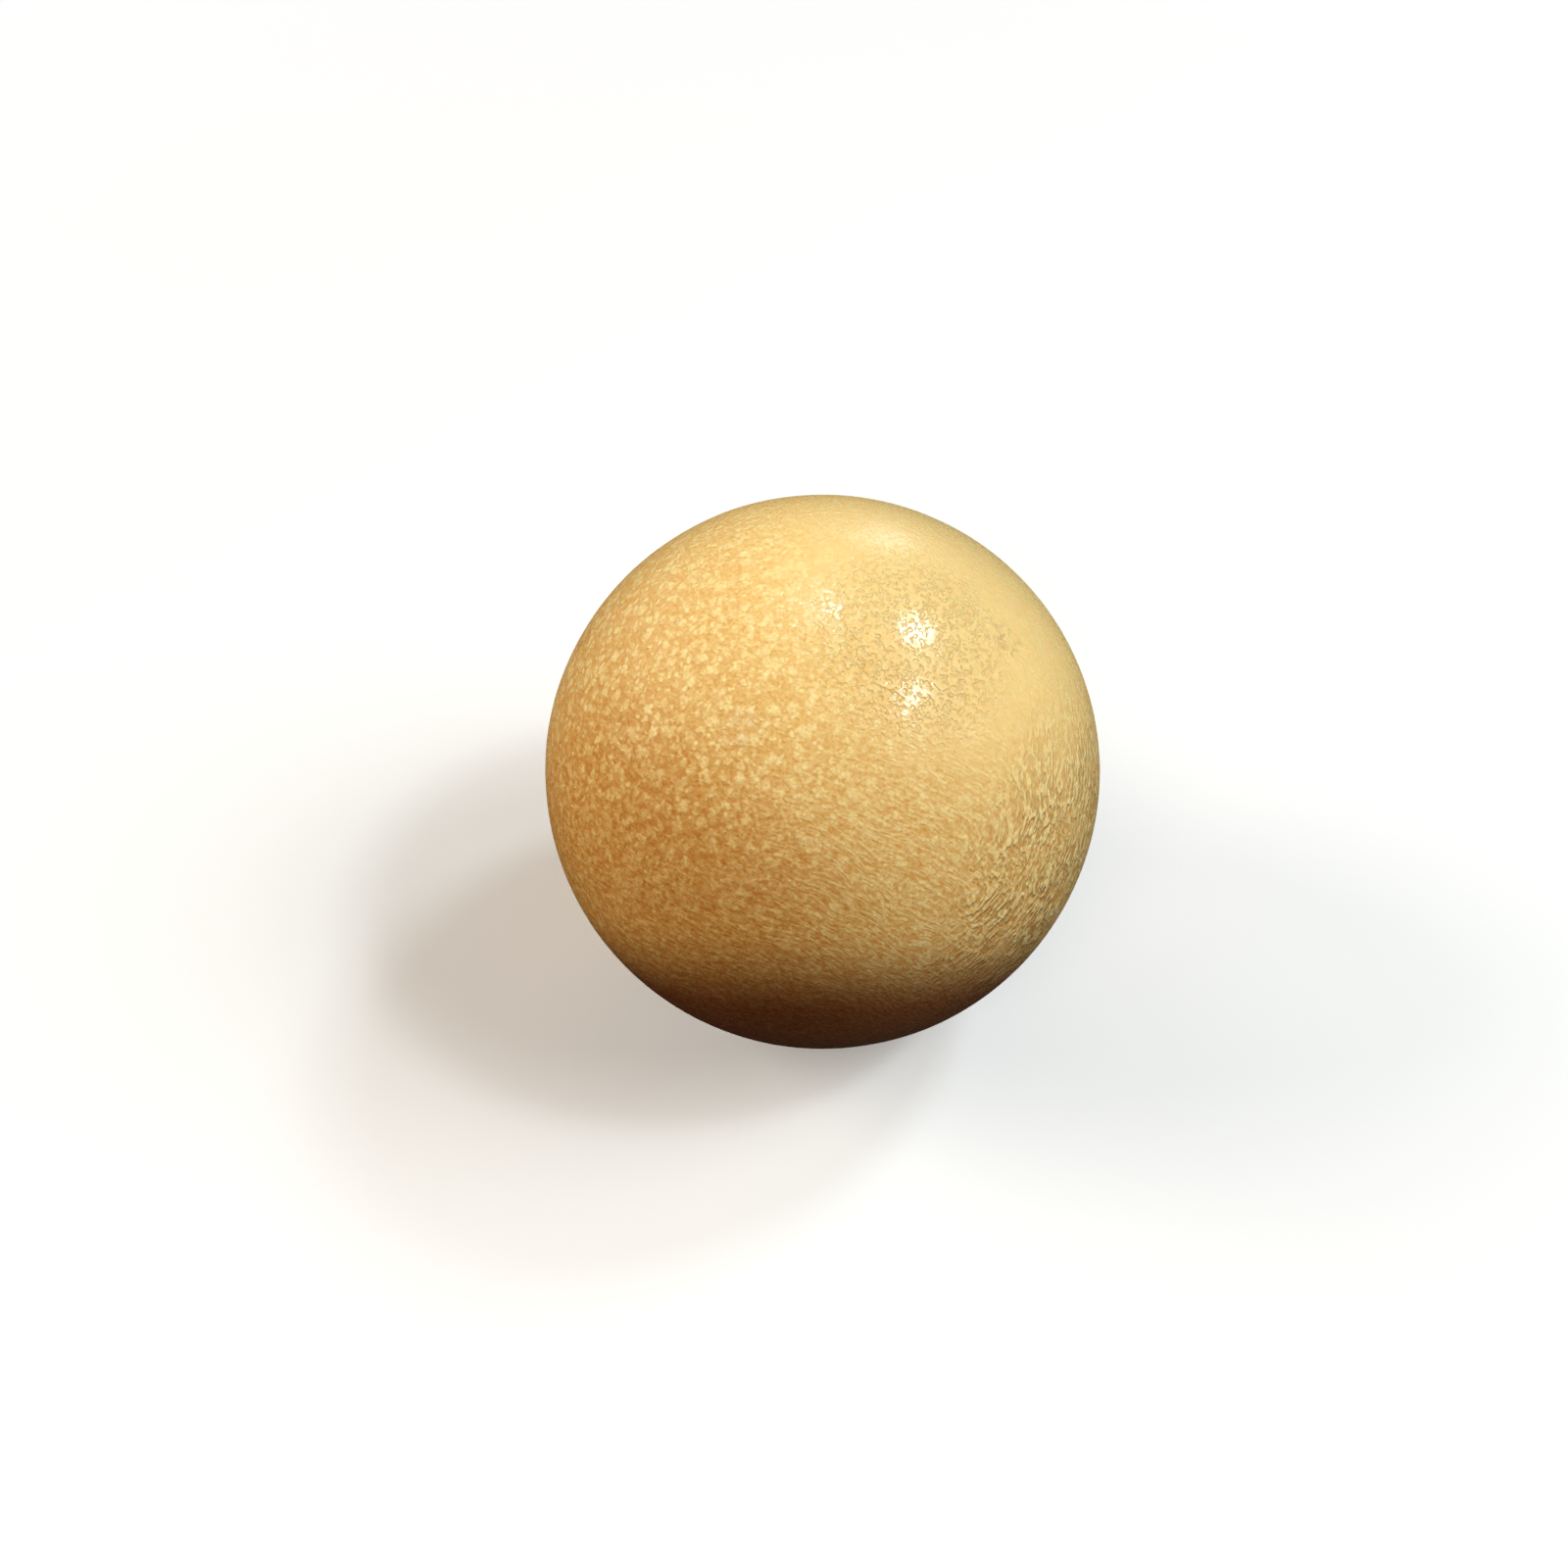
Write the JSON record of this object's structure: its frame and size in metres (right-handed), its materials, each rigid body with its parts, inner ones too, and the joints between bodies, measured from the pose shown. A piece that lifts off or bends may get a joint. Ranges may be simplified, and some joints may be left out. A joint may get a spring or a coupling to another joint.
{
  "type": "golf ball",
  "caption": "Smooth undimpled golf ball: a fluid-filled rubber centre wound with rubber thread, inside an amber natural cover moulded in half shells.",
  "frame": {"origin": "centre of the ball", "axes": "+Z through the poles of the cover halves, from the lower half to the upper half; the halves meet in the XY plane"},
  "size_m": [0.0427, 0.0426, 0.0428],
  "materials": {
    "natural_cover": "aged natural cover stock, amber-yellow with pale flecks and streaks, satin polish",
    "fine_thread": "stretched natural rubber thread, tan",
    "broad_thread": "broad natural rubber thread, darker tan",
    "sac_rubber": "black vulcanised rubber, matte",
    "plug_rubber": "red-brown rubber, matte",
    "centre_fluid": "thick grey-green fluid"
  },
  "bodies": {
    "root": {"centre_fluid": "centre_fluid", "centre_sac": "sac_rubber", "sac_plug": "plug_rubber", "inner_thread_winding": "broad_thread", "outer_thread_winding": "fine_thread", "upper_cover_half": "natural_cover", "lower_cover_half": "natural_cover"}
  },
  "joints": []
}
